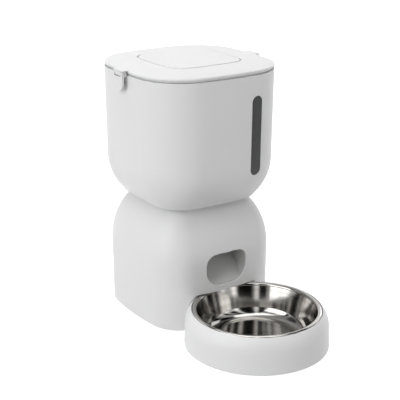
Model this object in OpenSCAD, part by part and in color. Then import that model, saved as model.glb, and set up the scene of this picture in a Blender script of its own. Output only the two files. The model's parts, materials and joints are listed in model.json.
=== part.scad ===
// Automatic pet feeder: a food hopper with a latched lid on a domed base that holds the dosing
// drive, and a steel bowl in a round holder that tucks into the front of the base.
// Millimetres, +Z up. The front, with the food outlet and the bowl, faces -Y.
// The origin is on the floor, under the middle of the whole footprint, base and bowl together.

/* [Hopper] */
// Half of the hopper's width at its rim, on both axes
hopper_half = 89.5; // [89.5:0.24:94.3]
// Radius of the hopper's corners at its rim
hopper_corner = 57.1; // [54.7:0.24:57.1]
// Height of the hopper's rim above the floor
rim_z = 299; // [290:1:320]
// Height where the hopper's wall starts to curve in
curve_z = 192; // [190:1:195]
// Radius of the curve at the bottom of the hopper
curve_r = 62; // [60:1:66]
// How far the wall leans in from the rim to the curve
hopper_draft = 1.4; // [0.8:0.2:2]
// Underside of the hopper
hopper_z0 = 146.2; // [146.2:0.1:147]
// Thickness of the moulded walls
wall = 2.4; // [2:0.2:3]

/* [Window] */
// Width of the level window
window_w = 15; // [12:1:18]
// Height of the level window
window_h = 95; // [80:1:100]
// Distance of the window's middle from the feeder's middle
window_x = 36.3; // [34:0.1:40]
// Height of the window's middle
window_z = 227.5; // [225:0.5:232]

/* [Base] */
// Half of the base's width at its shoulder, on both axes
base_half = 83.3; // [82.5:0.4:84.1]
// Radius of the base's corners at the shoulder
base_corner = 42.1; // [41.3:0.4:42.9]
// How far the base's wall leans in from the shoulder to the floor
base_draft = 0.8; // [0.4:0.2:1.2]
// Height where the base starts to dome in
shoulder_z = 82; // [80:1:84]
// Larger radius of the dome, just above the wall
dome_r1 = 85; // [85:1:87]
// Smaller radius of the dome, up to the neck
dome_r2 = 37; // [36:1:38]
// Top of the base
base_top = 143.2; // [142.8:0.1:143.4]

/* [Outlet] */
// Half of the outlet's width
outlet_half = 28.3; // [26:0.1:29]
// Lowest point of the outlet
outlet_z0 = 51; // [50:0.5:53]
// Highest point of the outlet
outlet_z1 = 90.4; // [89:0.2:92]
// Radius of the outlet's upper corners
outlet_r_top = 13; // [10:0.5:14]
// Radius of the outlet's lower corners
outlet_r_low = 20; // [16:0.5:22]

/* [Bowl] */
// Distance from the middle of the feeder to the middle of the bowl
bowl_y = 142.9; // [141:0.1:145]
// Radius of the bowl holder at the floor
holder_r = 83.5; // [82:0.5:84]
// Height of the bowl holder
holder_h = 42.3; // [42:0.1:43]
// Thickness of the bowl's steel sheet
steel_t = 0.8; // [0.6:0.1:1]
// Height of the recess in the base that takes the holder
dock_top = 44; // [44:0.5:46]

/* [Lid] */
// Height of the lid's crown above the hopper's rim
lid_rise = 8.3; // [7.5:0.1:9]
// How far the panel in the lid stands above the crown
panel_rise = 0.7; // [0.2:0.1:1.2]
// Width of the groove round the panel
groove_w = 2; // [1.2:0.2:2]
// Width of a latch
latch_w = 22; // [18:1:24]
// Lowest point of a closed latch
latch_z0 = 281; // [279:0.5:283]

/* [Drive] */
// Inner radius of the dosing pan
pan_r = 41.5; // [40:0.5:42]
// Number of vanes on the rotor
vanes = 6; // [4:1:6]
// Module of the two gears
gear_m = 1.25; // [1.25]
// Teeth on the rotor's gear
gear_teeth = 20; // [20]
// Teeth on the motor's pinion
pinion_teeth = 10; // [10]

/* [Hidden] */
$fn = 96;
fine = 180;  // facets on the long arcs

// Colours
shell_white = [0.93, 0.93, 0.92];
inner_white = [0.85, 0.85, 0.84];
smoke = [0.2, 0.2, 0.21];
steel = [0.75, 0.74, 0.72];
rubber_grey = [0.35, 0.35, 0.36];
board_green = [0.1, 0.35, 0.2];
brass_gold = [0.8, 0.65, 0.3];
acetal_cream = [0.9, 0.87, 0.78];
cell_dark = [0.2, 0.22, 0.25];

// A plan is [half width, side radius, corner radius, corner centre, side angle]. Each side is a
// long arc and each corner a short one, tangent where they meet, so an inset keeps its centres.
// The side's half angle is the smallest one of a right triangle with whole sides.
function plan_of(half, corner, tri) =
    let (unit = (half - corner) / (tri[2] - tri[1] + tri[0]))
    [half, corner + tri[2] * unit, corner, tri[0] * unit, atan2(tri[0], tri[1])];
hopper_plan = plan_of(hopper_half, hopper_corner, [23, 264, 265]);
base_plan = plan_of(base_half, base_corner, [15, 112, 113]);

// The feeder's axis, so that the bowl's front and the hopper's back are equally far from the origin
axis_y = (bowl_y + holder_r + 0.1 - hopper_half) / 2;

// Floor gap under the housings, taken up by rubber feet
foot_h = 1.6;
plate_t = 2.4;
slip = 0.3;  // clearance between moving housings
touch = 0.05;

// Dome of the base: two arcs that meet where the surface leans in by the 3:4:5 angle
dome_dir = [0.8, 0.6];
dome_c1 = [-dome_r1, shoulder_z];
dome_c2 = dome_c1 + (dome_r1 - dome_r2) * dome_dir;

// Bowl holder: its wall leans in up to a turn, then rounds over to the bowl's rim
turn_z = 24;
turn_x = holder_r - 0.9;
round_r = 27.1;

// Dock for the holder, and the tongue that enters its back
dock_gap = 0.8;
tongue_w = 28;
tongue_z = 5;

// Lid
lid_inset = 0.2;
lid_gap = 0.5;
lid_z0 = rim_z + lid_gap;
lid_crown = rim_z + lid_rise;
crown_r = 252;
groove_inset = 38.7;
panel_inset = groove_inset + groove_w;
lid_floor = 303.2;
pocket_z = lid_floor - 0.8;
panel_z = 305;
panel_top = lid_crown + panel_rise;
plug_inset = 3.4;
plug_z = 292;

// Latches hang on pins along Y, under an ear on each side of the lid
pin_x = 93.2;
pin_z = 300.4;
pin_r = 1;
knuckle_r = 2.9;
ear_x = 96.2;
knuckle_y = 6.7;

// Dosing drive, on the feeder's middle axis
pan_z0 = 118;
pan_t = 2;
pan_top = hopper_z0 + plate_t + pan_t;
boss_r = 6;
run_fit = 0.08;
gear_z = 105;
gear_h = 7;
deck_z = 101;
deck_t = 3;
mount_x = 10;
gear_distance = gear_m * (gear_teeth + pinion_teeth) / 2;
dog_side = 6.4;
post_places = [[40, 40], [-40, 40], [40, -40], [-40, -40]];

// Back of the base
board_y = 68;
board_t = 1.6;
board_places = [[-28, 18], [28, 18], [-28, 74], [28, 74]];
button_z = 56;
button_r = 6;
lamp_z = 68;
socket_z = 24;

// Battery bay, seen from below
cell_r = 16.5;
cell_l = 61;
bay_half = 54;
bay_y0 = -20;
bay_y1 = 55;
bay_top = 42;
door_travel = 8;

foot_places = [[61, 60], [-61, 60], [61, -60], [-61, -60]];
screw_places = [[74, 40], [-74, 40], [74.5, -25], [-74.5, -25]];

// ---- shared shapes ----

// Every part is drawn round the feeder's upright axis, which stands behind the origin
module from_axis() {
    translate([0, axis_y, 0]) children();
}

// Sweeps a wall section round a plan. The section lies at x = -inset, y = height.
module around(plan) {
    for (q = [0 : 90 : 270]) rotate(q) {
        translate([plan[0] - plan[1], 0])
            rotate_extrude(angle = 2 * plan[4], start = -plan[4]) translate([plan[1], 0]) children();
        translate([plan[3], plan[3]])
            rotate_extrude(angle = 90 - 2 * plan[4], start = plan[4]) translate([plan[2], 0]) children();
    }
}

// The plan's outline, drawn in by an inset
module outline(plan, inset) {
    reach = 2 * plan[3] + (plan[2] - inset) * (cos(plan[4]) + sin(plan[4]));
    intersection() {
        intersection_for (q = [0 : 90 : 270])
            rotate(q) translate([plan[0] - plan[1], 0]) circle(plan[1] - inset, $fn = 720);
        rotate(45) square(reach * sqrt(2), center = true);
    }
    for (q = [0 : 90 : 270]) rotate(q) translate([plan[3], plan[3]]) circle(plan[2] - inset);
}

module plan_plate(plan, inset, z0, z1) {
    translate([0, 0, z0]) linear_extrude(z1 - z0) outline(plan, inset);
}

// An annulus, for walls that follow an arc
module ring(centre, r_out, r_in) {
    translate(centre) difference() {
        circle(r_out, $fn = fine);
        circle(r_in, $fn = fine);
    }
}

// Draws a front view outline in the XZ plane and runs it from y1 back to y0
module along_y(y0, y1) {
    translate([0, y1, 0]) rotate([90, 0, 0]) linear_extrude(y1 - y0) children();
}

// Draws a side view outline in the YZ plane and runs it from -half to half
module along_x(half) {
    rotate([90, 0, 90]) translate([0, 0, -half]) linear_extrude(2 * half) children();
}

module box(lo, hi) {
    translate(lo) cube(hi - lo);
}

module upright_slot(w, h) {
    square([w, h - w], center = true);
    for (s = [-1, 1]) translate([0, s * (h - w) / 2]) circle(w / 2);
}

module tube(r_out, r_in, h) {
    difference() {
        cylinder(r = r_out, h = h);
        translate([0, 0, -1]) cylinder(r = r_in, h = h + 2);
    }
}

// Countersunk screw, head at z = 0 and shank upwards
module screw(head_r, shank_r, length) {
    cylinder(r1 = head_r, r2 = shank_r, h = head_r - shank_r);
    cylinder(r = shank_r, h = length);
}

// ---- base ----

module base_section() {
    polygon([
        [0, shoulder_z], [-base_draft, foot_h], [-base_draft - wall, foot_h], [-wall, shoulder_z]
    ]);
    intersection() {
        ring(dome_c1, dome_r1, dome_r1 - wall);
        polygon([dome_c1, dome_c1 + [2 * dome_r1, 0], dome_c1 + 2 * dome_r1 * dome_dir]);
    }
    intersection() {
        ring(dome_c2, dome_r2, dome_r2 - wall);
        polygon([dome_c2, dome_c2 + 2 * dome_r2 * dome_dir, [40, base_top], [-38, base_top]]);
    }
}

// Front outline of the food outlet
module outlet_outline(grow) {
    top = outlet_r_top;
    low = outlet_r_low;
    w = outlet_half + grow;
    z0 = outlet_z0 - grow;
    z1 = outlet_z1 + grow;
    top_x = w - top - grow;
    low_x = w - low - grow;
    for (s = [-1, 1]) {
        translate([s * top_x, z1 - top - grow]) circle(top + grow);
        translate([s * low_x, z0 + low + grow]) circle(low + grow);
    }
    translate([-w, z0 + low + grow]) square([2 * w, z1 - z0 - top - low - 2 * grow]);
    translate([-top_x, z1 - top - grow]) square([2 * top_x, top + grow]);
    translate([-low_x, z0]) square([2 * low_x, low + grow]);
}

module at_bowl() {
    translate([0, -bowl_y, 0]) children();
}

// Section of the dock, from the bowl's axis out to a surface that follows the holder
module dock_section(grow, z0, z1) {
    polygon([[0, z0], [holder_r + grow, z0], [turn_x + grow, turn_z], [0, turn_z]]);
    intersection() {
        translate([turn_x - round_r, turn_z]) circle(round_r + grow, $fn = fine);
        translate([0, turn_z]) square([100, z1 - turn_z]);
    }
}

module base_shell() {
    color(shell_white) from_axis() difference() {
        union() {
            around(base_plan) base_section();
            intersection() {
                plan_plate(base_plan, 1.8, foot_h, dock_top + wall);
                at_bowl() rotate_extrude($fn = fine) dock_section(dock_gap + wall, 0, dock_top + wall);
            }
            for (p = screw_places) translate([p[0], p[1], foot_h + plate_t]) cylinder(r = 5, h = 24);
            for (p = board_places)
                translate([p[0], board_y + board_t, p[1]]) rotate([-90, 0, 0]) cylinder(r = 3.5, h = 11);
        }
        at_bowl() rotate_extrude($fn = fine) dock_section(dock_gap, -1, dock_top);
        box([-tongue_w / 2 - 0.6, -62, tongue_z - 0.6], [tongue_w / 2 + 0.6, -50, tongue_z + 3.6]);
        along_y(-100, -60) outlet_outline(0);
        for (p = screw_places) translate([p[0], p[1], foot_h]) cylinder(r = 1.6, h = 18);
        for (p = board_places)
            translate([p[0], board_y, p[1]]) rotate([-90, 0, 0]) cylinder(r = 1.3, h = 9);
        translate([0, 75, button_z]) rotate([-90, 0, 0]) cylinder(r = button_r, h = 12);
        translate([0, 75, lamp_z]) rotate([-90, 0, 0]) cylinder(r = 1.6, h = 12);
        along_y(77, 90) translate([0, socket_z]) rotate(90) upright_slot(4.4, 10.4);
    }
}

module base_plate() {
    z1 = foot_h + plate_t;
    color(shell_white) from_axis() difference() {
        plan_plate(base_plan, base_draft + wall + 0.2, foot_h, z1);
        at_bowl() cylinder(r = holder_r + dock_gap + wall + 0.2, h = 10, $fn = fine);
        box([-bay_half, bay_y0, 0], [bay_half, bay_y1 + door_travel + 0.4, 10]);
        box([-bay_half - 3, bay_y0, 2.2], [bay_half + 3, bay_y1 + door_travel + 0.4, 3.4]);
        for (p = foot_places) translate([p[0], p[1], 0]) cylinder(r = 3, h = 10);
        for (p = screw_places) translate([p[0], p[1], foot_h]) {
            translate([0, 0, -1]) cylinder(r = 1.7, h = 10);
            translate([0, 0, -0.01]) cylinder(r1 = 3.4, r2 = 1.7, h = 1.7);
        }
    }
}

module rubber_feet() {
    color(rubber_grey) from_axis() for (p = foot_places) translate([p[0], p[1], 0]) {
        cylinder(r = 7, h = foot_h);
        cylinder(r = 2.95, h = foot_h + plate_t);
    }
}

module base_screws() {
    color(steel) from_axis() for (p = screw_places) translate([p[0], p[1], foot_h + 0.1]) screw(3.1, 1.5, 14);
}

// Closes the top of the base; its collar carries the hopper
module neck_deck() {
    collar_r = 48.2;
    color(inner_white) from_axis() difference() {
        union() {
            plan_plate(base_plan, 34.8, 139, base_top);
            plan_plate(base_plan, 30.4, 139, 141);
            translate([0, 0, 139]) cylinder(r = collar_r, h = hopper_z0 - touch - 139);
        }
        translate([0, 0, 130]) cylinder(r = 46, h = 20);
        for (p = post_places) translate([p[0], p[1], 130]) cylinder(r = 1.6, h = 20);
        for (p = post_places) translate([p[0], p[1], base_top - 1.5]) cylinder(r1 = 1.6, r2 = 3.2, h = 1.6);
    }
}

// Side view of the chute's hollow: up from the outlet along the slope, then straight up
function chute_side(lip) = [
    [-95, outlet_z0 - 12.1 - 1.3 * lip], [-17.5 + lip, 105.1 - 1.3 * lip + 0.9 * lip],
    [-17.5 + lip, pan_z0 - 0.5], [-44 - lip, pan_z0 - 0.5], [-44 - lip, outlet_z1 + lip],
    [-95, outlet_z1 + lip]
];

module chute_form(grow, z1) {
    intersection() {
        along_x(40) polygon(chute_side(grow));
        union() {
            along_y(-95, 0) outlet_outline(grow);
            box([-outlet_half - grow, -44 - grow, 74], [outlet_half + grow, -17.5 + grow, z1]);
        }
    }
}

module outlet_chute() {
    front_r = base_plan[1] - wall - 0.8;
    color(shell_white) from_axis() intersection() {
        difference() {
            chute_form(2, pan_z0 - 0.5);
            chute_form(0, pan_z0);
            box([-outlet_half, -44, 100], [outlet_half, -17.5, 120]);
        }
        translate([0, base_plan[1] - base_plan[0], 40]) cylinder(r = front_r, h = 80, $fn = 720);
    }
}

module gear_deck() {
    color(inner_white) from_axis() difference() {
        union() {
            box([-45, -13, deck_z], [45, 45, deck_z + deck_t]);
            for (m = [0, 1]) mirror([m, 0, 0]) box([33, -45, deck_z], [45, -12, deck_z + deck_t]);
            for (p = post_places) translate([p[0], p[1], deck_z]) cylinder(r = 4, h = 139 - deck_z);
        }
        translate([0, gear_distance, deck_z - 1]) cylinder(r = 4.5, h = 8);
        translate([0, 0, deck_z - 1]) cylinder(r = 2.5, h = 8);
        for (s = [-1, 1])
            translate([s * mount_x, gear_distance, deck_z - 1]) cylinder(r = 1.5, h = 8);
        for (p = post_places) translate([p[0], p[1], 122]) cylinder(r = 1.4, h = 30);
    }
}

module deck_screws() {
    color(steel) from_axis() {
        for (p = post_places)
            translate([p[0], p[1], base_top - 0.1]) mirror([0, 0, 1]) screw(2.8, 1.3, 16);
        for (s = [-1, 1]) translate([s * mount_x, gear_distance, deck_z + deck_t]) {
            cylinder(r = 2.4, h = 0.8);
            translate([0, 0, -6]) cylinder(r = 1.4, h = 6.4);
        }
    }
}

// Steel axle of the drive gear, pressed into the deck
module rotor_axle() {
    color(steel) from_axis() translate([0, 0, deck_z - 2]) cylinder(r = 2.5, h = 14);
}

// One gear outline: straight flanks with enough backlash to turn freely
module gear_outline(teeth, m) {
    r_pitch = m * teeth / 2;
    r_tip = r_pitch + 0.85 * m;
    r_root = r_pitch - 1.15 * m;
    pitch = 360 / teeth;
    polygon([
        for (i = [0 : teeth - 1], c = [[r_root, -0.27], [r_tip, -0.11], [r_tip, 0.11], [r_root, 0.27]])
            c[0] * [cos((i + c[1]) * pitch), sin((i + c[1]) * pitch)]
    ]);
}

module drive_gear() {
    color(acetal_cream) from_axis() difference() {
        union() {
            translate([0, 0, gear_z]) linear_extrude(gear_h) gear_outline(gear_teeth, gear_m);
            translate([0, 0, deck_z + deck_t + 0.2]) cylinder(r = 6, h = 11);
            translate([-dog_side / 2, -dog_side / 2, gear_z + gear_h]) cube([dog_side, dog_side, 15]);
        }
        translate([0, 0, 90]) cylinder(r = 2.5 + run_fit, h = 23.5);
    }
}

// Turned by half a tooth, so that its teeth stand in the drive gear's gaps
module motor_pinion() {
    color(brass_gold) from_axis() translate([0, gear_distance, gear_z - 0.5]) difference() {
        linear_extrude(gear_h + 1) rotate(gear_teeth % 2 == 0 ? -90 + 180 / pinion_teeth : 0)
            gear_outline(pinion_teeth, gear_m);
        translate([0, 0, -1]) cylinder(r = 2 + run_fit, h = 20);
    }
}

// Reduction gearbox with its output shaft
module gear_motor() {
    color(steel) from_axis() translate([0, gear_distance, 0]) difference() {
        union() {
            translate([0, 0, 79]) cylinder(r = 12.5, h = deck_z - 79);
            translate([0, 0, deck_z - 1]) cylinder(r = 3.5, h = 3.4);
            translate([0, 0, deck_z - 1]) cylinder(r = 2, h = 14);
        }
        for (s = [-1, 1]) translate([s * mount_x, 0, 97]) cylinder(r = 1.45, h = 8);
    }
}

module motor_can() {
    color([0.6, 0.6, 0.62]) from_axis() translate([0, gear_distance, 0]) {
        translate([0, 0, 50]) cylinder(r = 12.2, h = 29);
        translate([0, 0, 47.5]) cylinder(r = 5, h = 2.5);
        for (s = [-1, 1]) translate([s * 8 - 1, -1.5, 48]) cube([2, 3, 2]);
    }
}

// Red and black leads, from the motor and from the battery box to the board
module motor_lead() {
    color("firebrick") from_axis() for (s = [-1, 1]) {
        translate([s * 8, gear_distance + 1.6, 48.6]) rotate([-90, 0, 0])
            cylinder(r = 0.8, h = board_y - gear_distance - 1.6);
    }
}

module battery_lead() {
    color("firebrick") from_axis() for (s = [-1, 1]) {
        translate([30 * s, bay_y1 + 2, 30]) rotate([-90, 0, 0])
            cylinder(r = 0.8, h = board_y - bay_y1 - 2);
    }
}

module circuit_board() {
    color(board_green) from_axis() difference() {
        box([-34, board_y, 12], [34, board_y + board_t, 80]);
        for (p = board_places)
            translate([p[0], board_y - 1, p[1]]) rotate([-90, 0, 0]) cylinder(r = 1.6, h = 5);
    }
}

module board_chips() {
    face = board_y + board_t;
    color([0.12, 0.12, 0.13]) from_axis() {
        box([-14, face, 34], [4, face + 2.6, 46]);
        box([10, face, 36], [18, face + 1.6, 42]);
        box([-3.5, face, button_z - 3.5], [3.5, face + 3.2, button_z + 3.5]);
        for (x = [-22, 22]) translate([x, face, 60]) rotate([-90, 0, 0]) cylinder(r = 3.2, h = 7);
    }
}

module board_screws() {
    color(steel) from_axis() for (p = board_places) translate([p[0], board_y, p[1]]) rotate([-90, 0, 0]) {
        translate([0, 0, -1.4]) cylinder(r = 2.6, h = 1.4);
        cylinder(r = 1.2, h = 8);
    }
}

module power_socket() {
    color([0.15, 0.15, 0.16]) from_axis() difference() {
        union() {
            box([-7, board_y + board_t, socket_z - 4.5], [7, 76.5, socket_z + 4.5]);
            along_y(76.5, 81.9) translate([0, socket_z]) rotate(90) upright_slot(4, 10);
        }
        along_y(74, 90) translate([0, socket_z]) rotate(90) upright_slot(2.8, 8.8);
    }
}

module light_pipe() {
    color([0.8, 0.9, 0.95]) from_axis() translate([0, board_y + board_t, lamp_z]) rotate([-90, 0, 0])
        cylinder(r = 1.5, h = 13.4);
}

module feed_button() {
    color(shell_white) from_axis() translate([0, 0, button_z]) rotate([-90, 0, 0]) {
        translate([0, 0, 79.4]) cylinder(r = button_r - slip, h = 4.2);
        translate([0, 0, 83.6]) cylinder(r1 = button_r - slip, r2 = button_r - slip - 0.6, h = 0.6);
        translate([0, 0, 77.9]) cylinder(r = button_r + 1, h = 1.6);
        translate([0, 0, 74.4]) cylinder(r = 2, h = 5);
    }
}

module battery_box() {
    z0 = foot_h + plate_t + touch;
    color(inner_white) from_axis() difference() {
        union() {
            box([-bay_half - 2, bay_y0 - 2, z0], [bay_half + 2, bay_y1 + 2, bay_top]);
            box([-bay_half - 2, bay_y1, z0], [bay_half + 2, bay_y1 + door_travel + 2.4, z0 + 2]);
        }
        box([-bay_half, bay_y0, 0], [bay_half, bay_y1, bay_top - 2]);
    }
}

module battery_cells() {
    color(cell_dark) from_axis() for (x = [-35, 0, 35])
        translate([x, bay_y0 + 6, 21.5]) rotate([-90, 0, 0]) {
            cylinder(r = cell_r, h = cell_l - 1.5);
            cylinder(r = 4.8, h = cell_l);
        }
}

// Flat contact at one end of each cell, coil spring cone at the other
module battery_contacts() {
    color(brass_gold) from_axis() for (x = [-35, 0, 35]) {
        box([x - 9, bay_y0, 12], [x + 9, bay_y0 + 0.6, 31]);
        translate([x, bay_y0 + 0.6, 21.5]) rotate([-90, 0, 0]) cylinder(r1 = 7, r2 = 4, h = 5.3);
        box([x - 9, bay_y1 - 0.6, 12], [x + 9, bay_y1, 31]);
        translate([x, bay_y0 + 6 + cell_l + touch, 21.5]) rotate([-90, 0, 0])
            cylinder(r = 4, h = bay_y1 - 0.6 - bay_y0 - 6 - cell_l - touch);
    }
}

module battery_door() {
    color(shell_white) from_axis() difference() {
        union() {
            box([-bay_half + slip, bay_y0 + slip, 1.7], [bay_half - slip, bay_y1, 3.6]);
            box([-bay_half - 2.6, bay_y0 + 4, 2.4], [bay_half + 2.6, bay_y1 - 4, 3.2]);
        }
        for (i = [0 : 3]) box([-9, bay_y1 - 14 + 3 * i, 1], [9, bay_y1 - 12.8 + 3 * i, 2.3]);
    }
}

// ---- bowl ----

module holder_section() {
    inner_x = 70.2;
    skirt_x = 72.4;
    seat_r = 75;
    seat_z = holder_h - 3;
    difference() {
        union() {
            polygon([
                [inner_x, foot_h + 2.1], [80.9, foot_h + 2.1], [80.9, foot_h - 0.4],
                [holder_r, foot_h - 0.4], [turn_x, turn_z], [inner_x, turn_z]
            ]);
            intersection() {
                translate([turn_x - round_r, turn_z]) circle(round_r, $fn = fine);
                translate([inner_x, turn_z]) square([20, holder_h - turn_z]);
            }
        }
        translate([60, seat_z]) square([seat_r - 60, 10]);
        polygon([
            [skirt_x, -1], [holder_r - wall, -1], [turn_x - wall, turn_z], [skirt_x, turn_z]
        ]);
        intersection() {
            translate([turn_x - round_r, turn_z]) circle(round_r - wall, $fn = fine);
            translate([skirt_x, turn_z]) square([20, seat_z - 2 - turn_z]);
        }
    }
}

module bowl_holder() {
    color(shell_white) from_axis() difference() {
        at_bowl() rotate_extrude($fn = fine) holder_section();
        box([-tongue_w / 2 - 0.1, -66, tongue_z - 0.1], [tongue_w / 2 + 0.1, -50, tongue_z + 3.1]);
    }
}

// Floor of the holder, with the tongue that docks in the base
module holder_base() {
    color(shell_white) from_axis() {
        at_bowl() translate([0, 0, foot_h]) cylinder(r = 80.8, h = 2, $fn = fine);
        box([-tongue_w / 2, -68, foot_h], [tongue_w / 2, -64, tongue_z + 1.5]);
        at_bowl() intersection() {
            translate([0, 0, tongue_z]) tube(95, 72.8, 3);
            box([-tongue_w / 2, 60, 0], [tongue_w / 2, 94, 10]);
        }
    }
}

module holder_pads() {
    color(rubber_grey) from_axis() at_bowl() for (a = [45 : 90 : 315]) rotate(a) translate([68, 0, 0]) {
        cylinder(r = 6, h = foot_h);
    }
}

// Hollow of the steel bowl, grown by the sheet's thickness for its outside
module cup(grow, top) {
    floor_z = 5.2;
    dish_r = 44;
    fillet = 14;
    lean = [0.28, 0.96];
    mouth = [68.6, 40];
    tan_z = floor_z + fillet - fillet * lean[0];
    tan_x = mouth[0] - (mouth[1] - tan_z) * lean[0] / lean[1];
    centre = [tan_x - fillet * lean[1], floor_z + fillet];
    foot = centre + (fillet + grow) * [lean[1], -lean[0]];
    polygon([
        [0, floor_z + 1 - grow], [dish_r, floor_z + 1 - grow], [dish_r + 1.2, floor_z - grow],
        [centre[0], floor_z - grow], foot, foot + (top - foot[1]) * [lean[0] / lean[1], 1], [0, top]
    ]);
    intersection() {
        translate(centre) circle(fillet + grow);
        translate([centre[0], 0]) square([30, floor_z + fillet]);
    }
}

module steel_bowl() {
    lip = [71.6, 40];
    lip_r = 3;
    color(steel) from_axis() at_bowl() rotate_extrude($fn = fine) {
        difference() {
            cup(steel_t, 40);
            cup(0, 41);
        }
        intersection() {
            ring(lip, lip_r, lip_r - steel_t);
            translate([60, 39.6]) square([20, 10]);
        }
    }
}

// ---- hopper ----

hopper_c = [-hopper_draft - curve_r, curve_z];

// Wall of the hopper between two insets from its outer surface
module hopper_band(out, in, z0, z1) {
    polygon([
        [-hopper_draft - out, curve_z], [-out, rim_z], [-in, rim_z], [-hopper_draft - in, curve_z]
    ]);
    intersection() {
        ring(hopper_c, curve_r - out, curve_r - in);
        translate([hopper_c[0], z0]) square([curve_r, curve_z - z0]);
    }
}

module hopper_shell() {
    lip_inset = -hopper_c[0] - sqrt(pow(curve_r, 2) - pow(curve_z - hopper_z0 - 1, 2));
    color(shell_white) from_axis() difference() {
        union() {
            around(hopper_plan) {
                hopper_band(0, wall, hopper_z0 + 1);
                translate([-lip_inset - 3.4, hopper_z0]) square([3.4, 1.4]);
            }
            plan_plate(hopper_plan, lip_inset + 0.6, hopper_z0, hopper_z0 + plate_t);
            for (m = [0, 1]) mirror([m, 0, 0]) box([88, -6, 286], [hopper_half + 2.3, 6, 289]);
        }
        along_y(-100, -70) translate([window_x, window_z]) upright_slot(window_w, window_h);
        translate([0, 0, hopper_z0 - 1]) cylinder(r = pan_r + pan_t + 0.3, h = 10);
        for (a = [45 : 90 : 315]) rotate(a) translate([50.5, 0, hopper_z0 - 1]) cylinder(r = 1.6, h = 10);
    }
}

// Smoked lens, seated in the window from inside on a thin flange. It stands where the hopper's side
// meets its corner, and is bent to a radius between the two.
module window_lens() {
    bend_r = 100;
    side = hopper_plan[4];
    centre = hopper_plan[3] * [1, 1] + (hopper_plan[2] - bend_r) * [cos(side), sin(side)];
    color(smoke, 0.6) from_axis() for (part = [[0.6, -0.2], [wall + 0.5, 6]])
        intersection() {
            rotate(-90) translate(centre)
                rotate_extrude(angle = 20, start = side - 10) translate([bend_r, 0])
                    hopper_band(part[0], wall + 1.5, hopper_z0 + 20);
            along_y(-100, -70) translate([window_x, window_z])
                upright_slot(window_w + part[1], window_h + part[1]);
        }
}

// Slopes the food into the pan; its edge follows the hopper's walls
module hopper_funnel() {
    top_z = 199;
    top_r = 105;
    color(inner_white) from_axis() {
        intersection() {
            difference() {
                translate([0, 0, pan_top]) cylinder(r1 = pan_r + 2.6, r2 = top_r + 2.6, h = top_z - pan_top);
                translate([0, 0, pan_top]) cylinder(r1 = pan_r, r2 = top_r, h = top_z - pan_top);
            }
            plan_plate(hopper_plan, 5.2, pan_top, top_z);
            // Notch behind the lens
            difference() {
                box([-100, -100, pan_top], [100, 100, top_z]);
                box([window_x - window_w / 2 - 3.5, -101, 181], [window_x + window_w / 2 + 3.5, -80.6, 201]);
            }
        }
        translate([0, 0, pan_top]) tube(54, pan_r + 0.8, 1.4);
    }
}

module rotor_pan() {
    color(inner_white) from_axis() difference() {
        union() {
            translate([0, 0, pan_z0]) cylinder(r = pan_r + pan_t, h = pan_top - pan_z0);
            translate([0, 0, pan_top - pan_t]) cylinder(r = 56, h = pan_t);
        }
        translate([0, 0, pan_z0 + plate_t]) cylinder(r = pan_r, h = 60);
        translate([0, 0, pan_z0 - 1]) cylinder(r = boss_r + run_fit, h = 10);
        box([-20, -36, pan_z0 - 1], [20, -18.5, pan_z0 + 10]);
        for (a = [45 : 90 : 315]) rotate(a) translate([50.5, 0, pan_z0]) cylinder(r = 1.6, h = 60);
    }
}

module pan_screws() {
    color(steel) from_axis() for (a = [45 : 90 : 315]) rotate(a) translate([50.5, 0, hopper_z0 + 0.4])
        cylinder(r = 1.5, h = pan_top - hopper_z0 - 0.4);
}

// Roof over the drop opening, so that food falls only when a vane carries it there
module outlet_shield() {
    z0 = pan_z0 + 27;
    color(inner_white) from_axis() translate([0, 0, z0]) intersection() {
        tube(pan_r - touch, 11, 2);
        box([-25, -60, 0], [25, -6, 2]);
    }
}

module rotor_hub() {
    color(acetal_cream) from_axis() difference() {
        union() {
            translate([0, 0, pan_z0 + plate_t + 0.4]) cylinder(r = 9, h = 24);
            translate([0, 0, pan_z0 - 0.4]) cylinder(r = boss_r, h = 10);
        }
        translate([-dog_side / 2 - 0.2, -dog_side / 2 - 0.2, pan_z0 - 1])
            cube([dog_side + 0.4, dog_side + 0.4, 12]);
    }
}

module rotor_vanes() {
    z0 = pan_z0 + plate_t + 0.6;
    color(rubber_grey) from_axis() for (i = [0 : vanes - 1]) rotate((i + 0.5) * 360 / vanes)
        difference() {
            union() {
                box([0, -1.5, z0], [38, 1.5, z0 + 22]);
                translate([38, 0, z0]) cylinder(r = 1.5, h = 22);
            }
            translate([0, 0, z0 - 1]) cylinder(r = 9, h = 30);
        }
}

module stirrer() {
    z0 = pan_z0 + plate_t + 24.4;
    color(acetal_cream) from_axis() {
        translate([0, 0, z0]) cylinder(r = 4, h = 14);
        translate([-24, 0, z0 + 11]) rotate([0, 90, 0]) cylinder(r = 2.4, h = 48);
        for (s = [-1, 1]) translate([24 * s, 0, z0 + 11]) sphere(r = 3.2);
    }
}

// ---- lid ----

module lid_section() {
    edge = 2;
    edge_x = -lid_inset - edge;
    edge_z = lid_crown - 4.55;
    intersection() {
        translate([-groove_inset, lid_crown - crown_r]) circle(crown_r, $fn = 720);
        union() {
            polygon([
                [-groove_inset, lid_floor], [edge_x, lid_floor], [edge_x, 320], [-groove_inset, 320]
            ]);
            translate([edge_x, edge_z]) circle(edge);
            // The rim's underside slopes back in, down to the gap over the hopper
            polygon([
                [-plug_inset - 1, lid_z0], [-lid_inset - 2, lid_z0], [-lid_inset, edge_z - 0.6],
                [-lid_inset, edge_z], [edge_x, edge_z], [edge_x, lid_floor + 0.5],
                [-plug_inset - 1, lid_floor + 0.5]
            ]);
        }
    }
    translate([-plug_inset - 2, plug_z]) square([2, lid_floor - plug_z + 0.4]);
}

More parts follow.
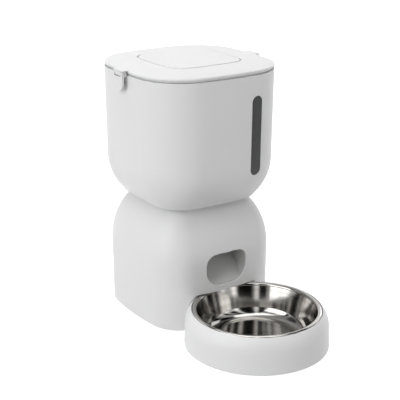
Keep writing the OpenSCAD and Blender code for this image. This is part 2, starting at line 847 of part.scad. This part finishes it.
// Ear over a latch, with the middle knuckle of its hinge
module lid_ear() {
    top = 304.6;
    difference() {
        union() {
            box([86, -latch_w / 2, pin_z + knuckle_r + 0.3], [ear_x - 2, latch_w / 2, top]);
            box([86, -latch_w / 2 + 2, pin_z + knuckle_r + 0.3], [ear_x, latch_w / 2 - 2, top]);
            for (s = [-1, 1]) translate([ear_x - 2, s * (latch_w / 2 - 2), pin_z + knuckle_r + 0.3])
                cylinder(r = 2, h = top - pin_z - knuckle_r - 0.3);
            box([88, -knuckle_y, pin_z], [pin_x + 2.6, knuckle_y, top - 1]);
            along_y(-knuckle_y, knuckle_y) translate([pin_x, pin_z]) circle(2.6);
        }
        along_y(-20, 20) translate([pin_x, pin_z]) circle(pin_r + 0.02);
    }
}

module lid_shell() {
    color(shell_white) from_axis() difference() {
        union() {
            around(hopper_plan) lid_section();
            plan_plate(hopper_plan, groove_inset - 0.5, pocket_z, panel_z);
            for (m = [0, 1]) mirror([m, 0, 0]) lid_ear();
        }
        for (m = [0, 1], s = [-1, 1]) mirror([m, 0, 0]) translate([0, s * (latch_w / 2 + knuckle_y) / 2, 0])
            box([88.2, -(latch_w / 2 - knuckle_y) / 2, lid_z0 - 2],
                [pin_x, (latch_w / 2 - knuckle_y) / 2, pin_z + knuckle_r + 0.3]);
    }
}

module lid_panel() {
    edge = 1.2;
    color(shell_white) from_axis() {
        around(hopper_plan) translate([-panel_inset, 0]) {
            translate([-edge - 0.5, panel_z]) square([edge + 0.5, panel_top - edge - panel_z]);
            intersection() {
                translate([-edge, panel_top - edge]) circle(edge);
                translate([-edge - 0.5, panel_top - edge]) square([2, 2]);
            }
        }
        plan_plate(hopper_plan, panel_inset + edge, panel_z, panel_top);
    }
}

// Soft lip round the lid's plug
module lid_gasket() {
    color(rubber_grey) from_axis() difference() {
        plan_plate(hopper_plan, plug_inset - 0.6, 294, 296.5);
        plan_plate(hopper_plan, plug_inset, 293, 298);
    }
}

module desiccant_box() {
    color(inner_white) from_axis() {
        translate([0, 0, 289.6]) tube(32, 30, pocket_z - 289.6);
        translate([0, 0, pocket_z - 1.6]) cylinder(r = 32, h = 1.6);
    }
}

module desiccant_pack() {
    color([0.9, 0.9, 0.86]) from_axis() translate([0, 0, 293.2]) cylinder(r = 27, h = 7.4);
}

module desiccant_cover() {
    z0 = 287.3;
    color(inner_white) from_axis() difference() {
        union() {
            translate([0, 0, z0]) cylinder(r = 33.5, h = 2);
            translate([0, 0, z0]) tube(29.6, 28, 5);
            box([-20, -1.5, z0 - 4], [20, 1.5, z0]);
        }
        for (a = [30 : 60 : 330]) rotate(a) {
            box([8, -1.5, z0 - 1], [22, 1.5, z0 + 4]);
        }
    }
}

module latch_pins() {
    color(steel) from_axis() for (s = [-1, 1])
        translate([s * pin_x, 0, pin_z]) rotate([90, 0, 0])
            cylinder(r = pin_r, h = latch_w - 1, center = true);
}

// Latch on the +X side: a plate on two knuckles, with a hook that snaps under the hopper's catch
module latch() {
    plate_x = pin_x + 0.4;
    outer_x = pin_x + knuckle_r;
    end_r = 9;
    half = latch_w / 2;
    difference() {
        union() {
            along_x_plate(plate_x, outer_x) {
                translate([-half, latch_z0 + end_r]) square([latch_w, 297.2 - latch_z0 - end_r]);
                for (s = [-1, 1]) translate([s * (half - end_r), latch_z0 + end_r]) intersection() {
                    circle(end_r);
                    translate([-end_r, -end_r]) square([2 * end_r, end_r + 1]);
                }
                translate([-half + end_r, latch_z0]) square([latch_w - 2 * end_r, end_r]);
            }
            for (s = [-1, 1]) {
                y0 = s > 0 ? knuckle_y + 0.3 : -half;
                y1 = s > 0 ? half : -knuckle_y - 0.3;
                along_y(y0, y1) translate([pin_x, pin_z]) circle(knuckle_r);
                box([plate_x, y0, 296], [outer_x, y1, pin_z]);
            }
            box([hopper_half + 2.6, -5, 282.6], [plate_x + 1, 5, 285.4]);
        }
        along_y(-20, 20) translate([pin_x, pin_z]) circle(pin_r + run_fit);
    }
}

// Runs a YZ outline from x0 to x1
module along_x_plate(x0, x1) {
    translate([x0, 0, 0]) rotate([90, 0, 90]) linear_extrude(x1 - x0) children();
}

module latch_right() {
    color(shell_white) from_axis() latch();
}

module latch_left() {
    color(shell_white) from_axis() mirror([1, 0, 0]) latch();
}

base_shell();
base_plate();
neck_deck();
outlet_chute();
gear_deck();
rotor_axle();
gear_motor();
motor_can();
motor_lead();
circuit_board();
board_chips();
power_socket();
light_pipe();
battery_box();
battery_cells();
battery_contacts();
battery_lead();
rubber_feet();
base_screws();
deck_screws();
board_screws();
drive_gear();
motor_pinion();
feed_button();
battery_door();
bowl_holder();
holder_base();
steel_bowl();
holder_pads();
hopper_shell();
window_lens();
hopper_funnel();
rotor_pan();
outlet_shield();
pan_screws();
rotor_hub();
rotor_vanes();
stirrer();
lid_shell();
lid_panel();
lid_gasket();
desiccant_box();
desiccant_pack();
latch_pins();
latch_left();
latch_right();
desiccant_cover();
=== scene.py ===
"""Automatic pet feeder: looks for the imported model, on a plain pale floor in soft studio light."""

import json
import math

import bpy
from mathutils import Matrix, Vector


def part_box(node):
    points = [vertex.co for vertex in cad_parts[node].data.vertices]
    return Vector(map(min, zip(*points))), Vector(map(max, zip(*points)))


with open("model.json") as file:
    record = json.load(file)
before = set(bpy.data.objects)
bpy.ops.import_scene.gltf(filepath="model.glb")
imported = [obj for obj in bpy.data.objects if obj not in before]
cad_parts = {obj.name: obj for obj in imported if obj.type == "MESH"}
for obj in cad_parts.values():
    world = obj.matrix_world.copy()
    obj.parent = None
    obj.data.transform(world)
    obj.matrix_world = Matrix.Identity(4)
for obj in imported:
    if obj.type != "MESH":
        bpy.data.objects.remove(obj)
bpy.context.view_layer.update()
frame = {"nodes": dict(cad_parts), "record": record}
nodes = frame["nodes"]


# ---- places, all from the frame (metres) ----
def middle_of(node):
    """The middle of a node's box, on the floor."""
    low, high = (Vector(corner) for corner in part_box(node))
    return Vector(((low.x + high.x) / 2, (low.y + high.y) / 2, 0))


AXIS = middle_of("neck_deck")
BOWL = Vector((0, middle_of("steel_bowl").y, 0))
AIM_HEIGHT = 0.160
AIM = Vector((AXIS.x, AXIS.y, AIM_HEIGHT))

# ---- camera settings ----
CAMERA_AZIMUTH = math.radians(-33.0)
CAMERA_ELEVATION = math.radians(18.0)
CAMERA_DISTANCE = 1.27
CAMERA_LENS = 94.0
CAMERA_SHIFT = (0.028, -0.056)

# ---- stage and world settings ----
FLOOR_SIZE = 14.0
BACKDROP_Y = 4.0
BACKDROP_TOP = 4.0
BACKDROP_RADIUS = 1.0
BACKDROP_STEPS = 24
FLOOR_GLOW = 0.6
WORLD_BELOW = 0.55
STREAK_SCALE = 2.2
STREAK_LIGHT = 1.3


# ---- camera ----
def make_camera():
    azimuth, elevation = CAMERA_AZIMUTH, CAMERA_ELEVATION
    back = Vector(
        (
            math.sin(azimuth) * math.cos(elevation),
            -math.cos(azimuth) * math.cos(elevation),
            math.sin(elevation),
        )
    )
    data = bpy.data.cameras.new("camera")
    data.sensor_width = 36
    data.lens = CAMERA_LENS
    data.shift_x, data.shift_y = CAMERA_SHIFT
    camera = bpy.data.objects.new("camera", data)
    camera.location = AIM + back * CAMERA_DISTANCE
    camera.rotation_euler = back.to_track_quat("Z", "Y").to_euler()
    bpy.context.scene.collection.objects.link(camera)
    bpy.context.scene.camera = camera


# ---- material helpers ----
def new_material(name):
    material = bpy.data.materials.new(name)
    material.use_nodes = True
    tree = material.node_tree
    return material, tree, tree.nodes["Principled BSDF"]


def add(tree, kind, **values):
    node = tree.nodes.new(kind)
    for key, value in values.items():
        if key in node.inputs:
            node.inputs[key].default_value = value
        else:
            setattr(node, key, value)
    return node


def object_coords(tree):
    return add(tree, "ShaderNodeTexCoord").outputs["Object"]


def ramp(tree, factor, low, high, from_min=0.3, from_max=0.7):
    """Maps a 0 to 1 texture value to low..high."""
    node = add(tree, "ShaderNodeMapRange")
    node.inputs["From Min"].default_value = from_min
    node.inputs["From Max"].default_value = from_max
    node.inputs["To Min"].default_value = low
    node.inputs["To Max"].default_value = high
    tree.links.new(factor, node.inputs["Value"])
    return node.outputs["Result"]


def noise(tree, vector, scale, detail=3.0):
    node = add(tree, "ShaderNodeTexNoise", Scale=scale, Detail=detail)
    tree.links.new(vector, node.inputs["Vector"])
    return node.outputs["Fac"]


def tint(tree, factor, dark, light):
    node = add(tree, "ShaderNodeMix", data_type="RGBA")
    node.inputs["A"].default_value = (*dark, 1)
    node.inputs["B"].default_value = (*light, 1)
    tree.links.new(factor, node.inputs["Factor"])
    return node.outputs["Result"]


def bump(tree, bsdf, height, distance, edge=0.0):
    """Surface grain, over edges that are softened by a small radius where one is given."""
    node = add(tree, "ShaderNodeBump", Strength=1.0, Distance=distance)
    tree.links.new(height, node.inputs["Height"])
    if edge:
        rounded = add(tree, "ShaderNodeBevel", samples=4, Radius=edge)
        tree.links.new(rounded.outputs["Normal"], node.inputs["Normal"])
    tree.links.new(node.outputs["Normal"], bsdf.inputs["Normal"])


# ---- materials ----
def moulded(name, colour, roughness, grain=0.00002, spread=0.02, coat=0.0, edge=0.0):
    """Injection-moulded plastic: fine spark-eroded grain and faint cloudiness."""
    material, tree, bsdf = new_material(name)
    vector = object_coords(tree)
    cloud = noise(tree, vector, 18, 4)
    dark = tuple(c * (1 - spread) for c in colour)
    tree.links.new(tint(tree, ramp(tree, cloud, 0, 1), dark, colour), bsdf.inputs["Base Color"])
    tree.links.new(
        ramp(tree, noise(tree, vector, 60, 3), roughness * 0.92, roughness * 1.08),
        bsdf.inputs["Roughness"],
    )
    bump(tree, bsdf, noise(tree, vector, 2600, 2), grain, edge)
    bsdf.inputs["Specular IOR Level"].default_value = 0.4
    bsdf.inputs["Coat Weight"].default_value = coat
    bsdf.inputs["Coat Roughness"].default_value = 0.25
    return material


def metal(name, colour, roughness):
    """Plain machined or plated metal."""
    material, tree, bsdf = new_material(name)
    bsdf.inputs["Metallic"].default_value = 1
    vector = object_coords(tree)
    dark = tuple(c * 0.86 for c in colour)
    value = noise(tree, vector, 40, 4)
    tree.links.new(tint(tree, ramp(tree, value, 0, 1), dark, colour), bsdf.inputs["Base Color"])
    tree.links.new(ramp(tree, value, roughness * 0.8, roughness * 1.25), bsdf.inputs["Roughness"])
    bump(tree, bsdf, noise(tree, vector, 900, 2), 0.00002)
    return material


def spun_steel(name):
    """Deep-drawn, polished stainless steel with faint turned rings about the bowl's axis."""
    material, tree, bsdf = new_material(name)
    bsdf.inputs["Metallic"].default_value = 1
    shift = add(tree, "ShaderNodeVectorMath", operation="SUBTRACT")
    shift.inputs[1].default_value = BOWL
    tree.links.new(object_coords(tree), shift.inputs[0])
    split = add(tree, "ShaderNodeSeparateXYZ")
    tree.links.new(shift.outputs["Vector"], split.inputs["Vector"])
    flat = add(tree, "ShaderNodeCombineXYZ")
    tree.links.new(split.outputs["X"], flat.inputs["X"])
    tree.links.new(split.outputs["Y"], flat.inputs["Y"])
    radius = add(tree, "ShaderNodeVectorMath", operation="LENGTH")
    tree.links.new(flat.outputs["Vector"], radius.inputs[0])
    rings = add(tree, "ShaderNodeCombineXYZ")
    tree.links.new(radius.outputs["Value"], rings.inputs["X"])
    tree.links.new(split.outputs["Z"], rings.inputs["Y"])
    lines = noise(tree, rings.outputs["Vector"], 1400, 2)
    bands = noise(tree, rings.outputs["Vector"], 130, 2)
    tree.links.new(
        tint(tree, ramp(tree, bands, 0, 1), (0.38, 0.368, 0.352), (0.48, 0.468, 0.45)),
        bsdf.inputs["Base Color"],
    )
    tree.links.new(ramp(tree, lines, 0.09, 0.15), bsdf.inputs["Roughness"])
    bump(tree, bsdf, lines, 0.000006)
    return material


def smoked(name):
    """Smoked plastic of the level window, dark enough to look solid."""
    material, tree, bsdf = new_material(name)
    vector = object_coords(tree)
    cloud = ramp(tree, noise(tree, vector, 30, 2), 0, 1)
    tree.links.new(
        tint(tree, cloud, (0.03, 0.03, 0.032), (0.04, 0.04, 0.042)),
        bsdf.inputs["Base Color"],
    )
    tree.links.new(ramp(tree, noise(tree, vector, 70, 2), 0.2, 0.26), bsdf.inputs["Roughness"])
    bsdf.inputs["Specular IOR Level"].default_value = 0.3
    return material


def rubber(name, colour):
    """Dull, slightly uneven rubber or paper."""
    material, tree, bsdf = new_material(name)
    vector = object_coords(tree)
    dark = tuple(c * 0.8 for c in colour)
    tree.links.new(tint(tree, noise(tree, vector, 90, 4), dark, colour), bsdf.inputs["Base Color"])
    tree.links.new(ramp(tree, noise(tree, vector, 200, 3), 0.62, 0.78), bsdf.inputs["Roughness"])
    bump(tree, bsdf, noise(tree, vector, 1500, 3), 0.00006)
    return material


MATERIALS = {
    "white_housing": moulded("white_housing", (0.76, 0.76, 0.762), 0.42, spread=0.012, edge=0.0007),
    "white_inner": moulded("white_inner", (0.7, 0.7, 0.69), 0.55, spread=0.02),
    # Painted shade: the outlet chute is the same white plastic as the housing, given a darker grey
    # copy so its deep recess reads shadowed
    "chute_grey": moulded("chute_grey", (0.54, 0.54, 0.535), 0.45, spread=0.02),
    "smoked_lens": smoked("smoked_lens"),
    "bowl_steel": spun_steel("bowl_steel"),
    "hard_steel": metal("hard_steel", (0.56, 0.56, 0.57), 0.32),
    "soft_rubber": rubber("soft_rubber", (0.09, 0.09, 0.095)),
    "cream_acetal": moulded("cream_acetal", (0.78, 0.73, 0.6), 0.38, spread=0.03),
    "brass": metal("brass", (0.75, 0.55, 0.24), 0.28),
    "board_green": moulded("board_green", (0.02, 0.12, 0.05), 0.3, spread=0.2, coat=0.3),
    "black_plastic": moulded("black_plastic", (0.02, 0.02, 0.022), 0.45, spread=0.1),
    "red_wire": moulded("red_wire", (0.4, 0.02, 0.015), 0.4, spread=0.05),
    "clear_pipe": moulded("clear_pipe", (0.7, 0.78, 0.8), 0.12, spread=0.02),
    "cell_wrap": moulded("cell_wrap", (0.03, 0.035, 0.05), 0.25, spread=0.1, coat=0.5),
    "pack_paper": rubber("pack_paper", (0.7, 0.7, 0.66)),
}
SLOT_OF = {part["node"]: part["material_slot"] for part in frame["record"]["subparts"]}
for name, obj in nodes.items():
    obj.data.materials.clear()
    obj.data.materials.append(MATERIALS[SLOT_OF[name]])


# ---- stage ----
def make_stage():
    """A floor that curves up into a backdrop."""
    mesh = bpy.data.meshes.new("floor")
    radius, bend = BACKDROP_RADIUS, BACKDROP_Y - BACKDROP_RADIUS
    rows = [(-FLOOR_SIZE, 0.0), (bend, 0.0)]
    for i in range(1, BACKDROP_STEPS + 1):
        angle = math.pi / 2 * i / BACKDROP_STEPS
        rows.append((bend + radius * math.sin(angle), radius * (1.0 - math.cos(angle))))
    rows.append((BACKDROP_Y, BACKDROP_TOP))
    verts = [(x, y, z) for y, z in rows for x in (-FLOOR_SIZE, FLOOR_SIZE)]
    faces = [(2 * i, 2 * i + 1, 2 * i + 3, 2 * i + 2) for i in range(len(rows) - 1)]
    mesh.from_pydata(verts, [], faces)
    mesh.shade_smooth()
    floor = bpy.data.objects.new("floor", mesh)
    bpy.context.scene.collection.objects.link(floor)
    material, tree, bsdf = new_material("paper")
    vector = object_coords(tree)
    tree.links.new(
        tint(tree, noise(tree, vector, 3, 2), (0.93, 0.93, 0.93), (0.94, 0.94, 0.94)),
        bsdf.inputs["Base Color"],
    )
    bsdf.inputs["Roughness"].default_value = 0.9
    bsdf.inputs["Specular IOR Level"].default_value = 0.1
    bsdf.inputs["Emission Color"].default_value = (1, 1, 1, 1)
    bsdf.inputs["Emission Strength"].default_value = FLOOR_GLOW
    mesh.materials.append(material)
    # The light that comes up from below is the world's, softer than a white floor's
    floor.visible_diffuse = False


def area_light(name, place, size, power):
    """A white rectangle of light (metres, watts) that faces the feeder's middle."""
    data = bpy.data.lights.new(name, "AREA")
    data.shape = "RECTANGLE"
    data.size, data.size_y = size
    data.energy = power
    light = bpy.data.objects.new(name, data)
    light.location = place
    light.rotation_euler = (Vector(place) - AIM).to_track_quat("Z", "Y").to_euler()
    bpy.context.scene.collection.objects.link(light)
    return light


def make_world():
    """A soft room with tall streaks, which give the polished bowl its dark and light bands."""
    world = bpy.data.worlds.new("studio")
    world.use_nodes = True
    tree = world.node_tree
    coords = add(tree, "ShaderNodeTexCoord")
    flat = add(tree, "ShaderNodeVectorMath", operation="MULTIPLY")
    flat.inputs[1].default_value = (1, 1, 0)
    tree.links.new(coords.outputs["Generated"], flat.inputs[0])
    bearing = add(tree, "ShaderNodeVectorMath", operation="NORMALIZE")
    tree.links.new(flat.outputs["Vector"], bearing.inputs[0])
    streaks = noise(tree, bearing.outputs["Vector"], STREAK_SCALE, 1.0)
    above = ramp(tree, streaks, 0.0, STREAK_LIGHT, 0.48, 0.58)
    height = add(tree, "ShaderNodeSeparateXYZ")
    tree.links.new(coords.outputs["Generated"], height.inputs["Vector"])
    strength = add(tree, "ShaderNodeMix")
    strength.inputs["A"].default_value = WORLD_BELOW
    tree.links.new(ramp(tree, height.outputs["Z"], 0, 1, -0.02, 0.02), strength.inputs["Factor"])
    tree.links.new(above, strength.inputs["B"])
    tree.links.new(strength.outputs["Result"], tree.nodes["Background"].inputs["Strength"])
    tree.nodes["Background"].inputs["Color"].default_value = (1, 1, 1, 1)
    bpy.context.scene.world = world


def make_lights():
    area_light("key", (-2.4, -0.4, 1.2), (2.0, 2.0), 30)
    area_light("top", (0, 0.3, 2.6), (2.4, 2.4), 38)
    area_light("right", (2.4, 0.6, 1.2), (2.0, 2.0), 18)
    area_light("front", (1.2, -2.4, 0.6), (2.0, 1.6), 8)
    back = area_light("back", (0.6, 2.6, 0.9), (1.6, 1.6), 12)
    # A fill for the far side, kept out of the lid's sheen
    back.visible_glossy = False
    make_world()


make_camera()
make_stage()
make_lights()
bpy.context.scene.view_settings.view_transform = "Standard"
bpy.context.scene.view_settings.look = "None"
